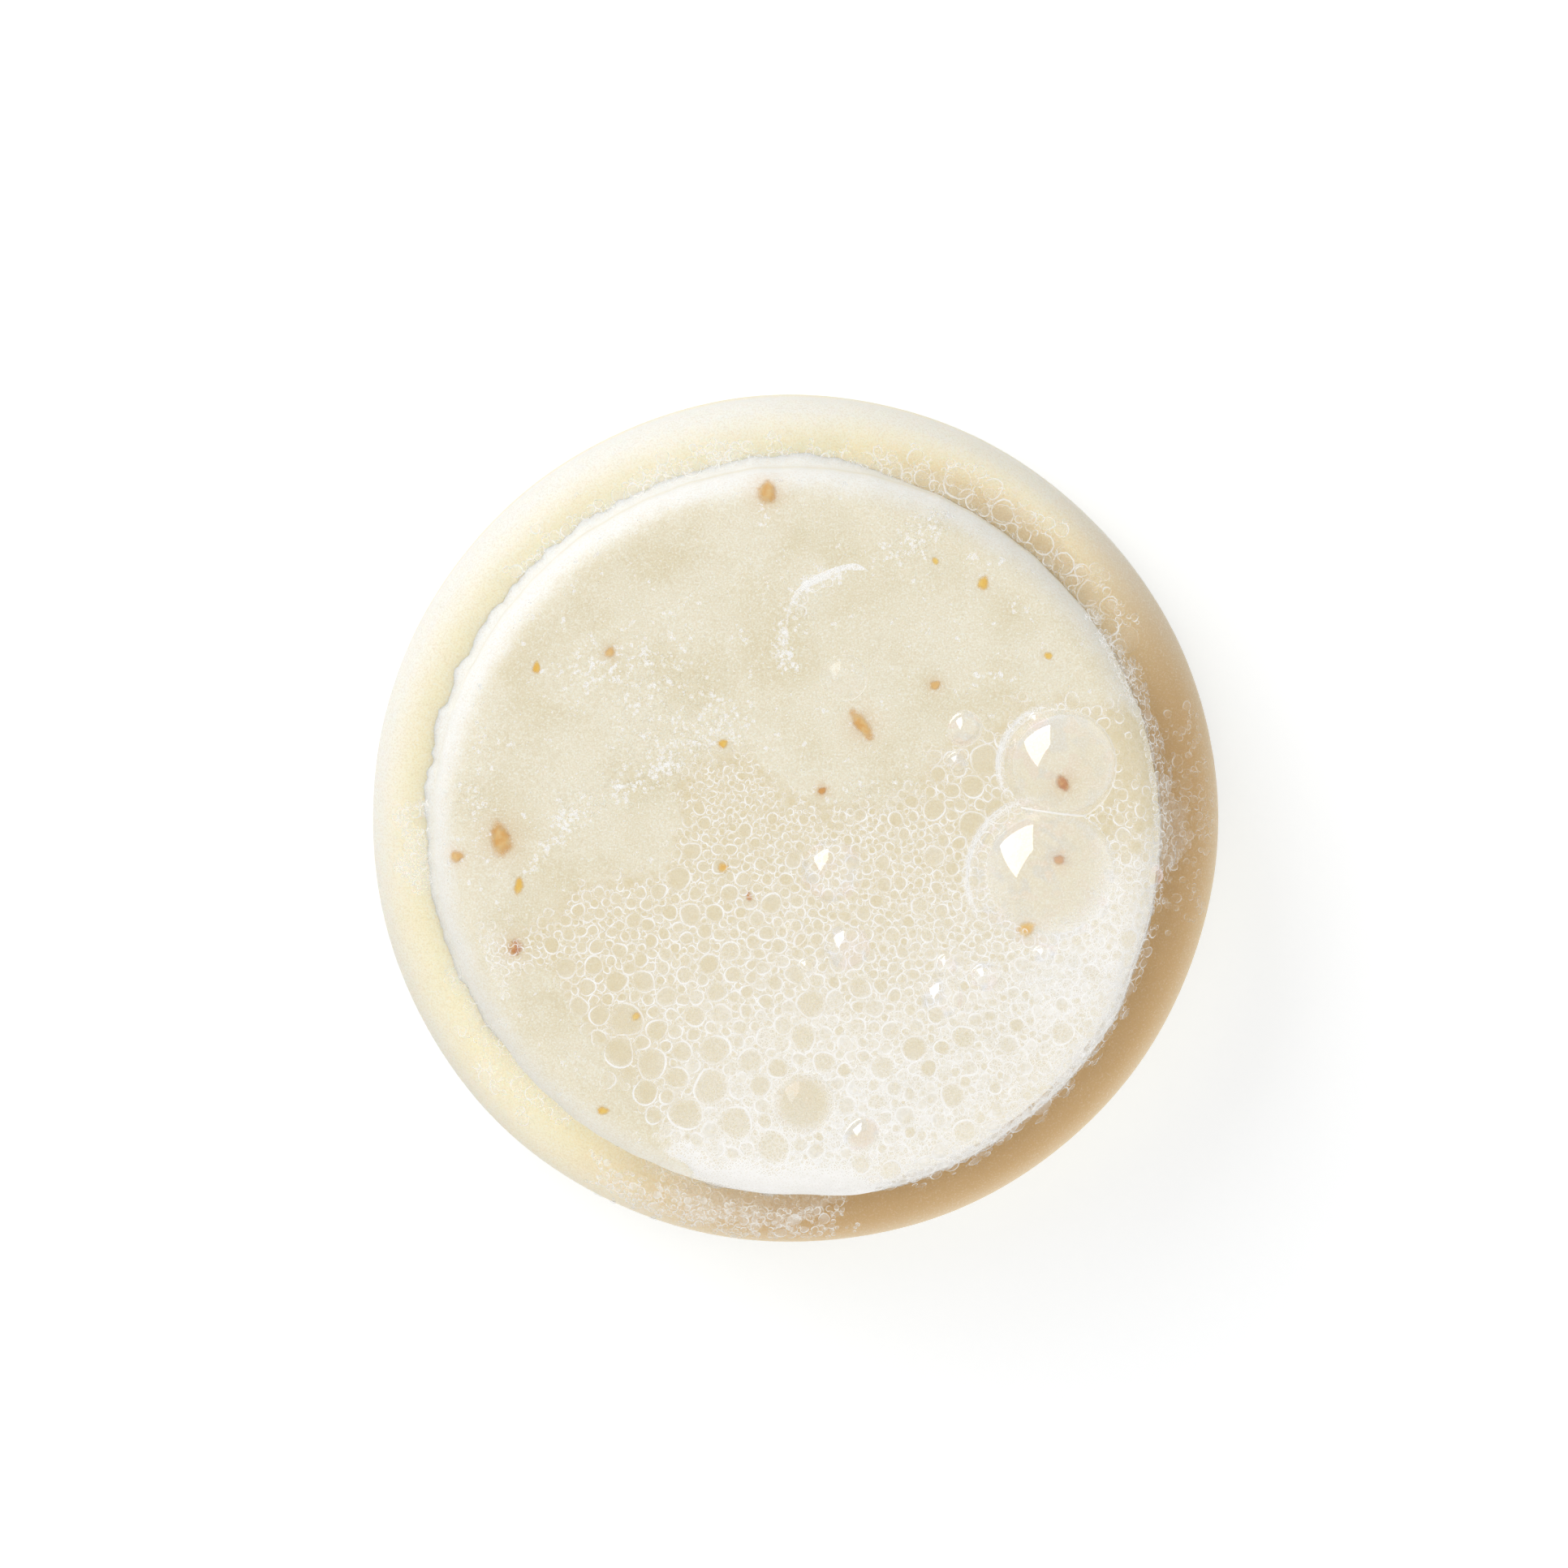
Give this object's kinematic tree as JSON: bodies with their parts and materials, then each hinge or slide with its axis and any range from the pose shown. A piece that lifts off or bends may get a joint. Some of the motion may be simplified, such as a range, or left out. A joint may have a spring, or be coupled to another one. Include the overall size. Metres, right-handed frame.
{
  "type": "shaving soap puck",
  "caption": "Round stepped shaving soap puck: a wide base layer, a narrower raised face with rounded shoulder and set-in plant flakes, and wet lather on the face and in the step.",
  "frame": {"origin": "centre of the flat underside of the base layer", "axes": "+Z out of the lathered face along the puck's axis, +X to the picture's right, +Y to the picture's top"},
  "size_m": [0.07, 0.07, 0.0273],
  "materials": {
    "soap_base": "satin, warm cream, slightly see-through",
    "soap_face": "satin, damp, pale cream, slightly see-through",
    "tan_flake": "matte, wet",
    "gold_flake": "matte, wet",
    "brown_flake": "matte, wet",
    "lather": "white froth of fine cells",
    "film": "clear thin film with bright window glints"
  },
  "bodies": {
    "root": {"base_layer": "soap_base", "face_layer": "soap_face", "tan_flakes": "tan_flake", "gold_flakes": "gold_flake", "brown_flakes": "brown_flake", "lather_spread": "lather", "lather_bank": "lather", "spread_cells": "film", "bank_cells": "film", "twin_bubble": "film", "dome_bubbles": "film", "lone_bubble": "film", "burst_rim": "lather", "froth_right": "lather", "froth_upper_right": "lather", "froth_top": "lather", "froth_left": "lather", "froth_lower_left": "lather", "froth_bottom": "lather", "froth_cells": "film"}
  },
  "joints": []
}
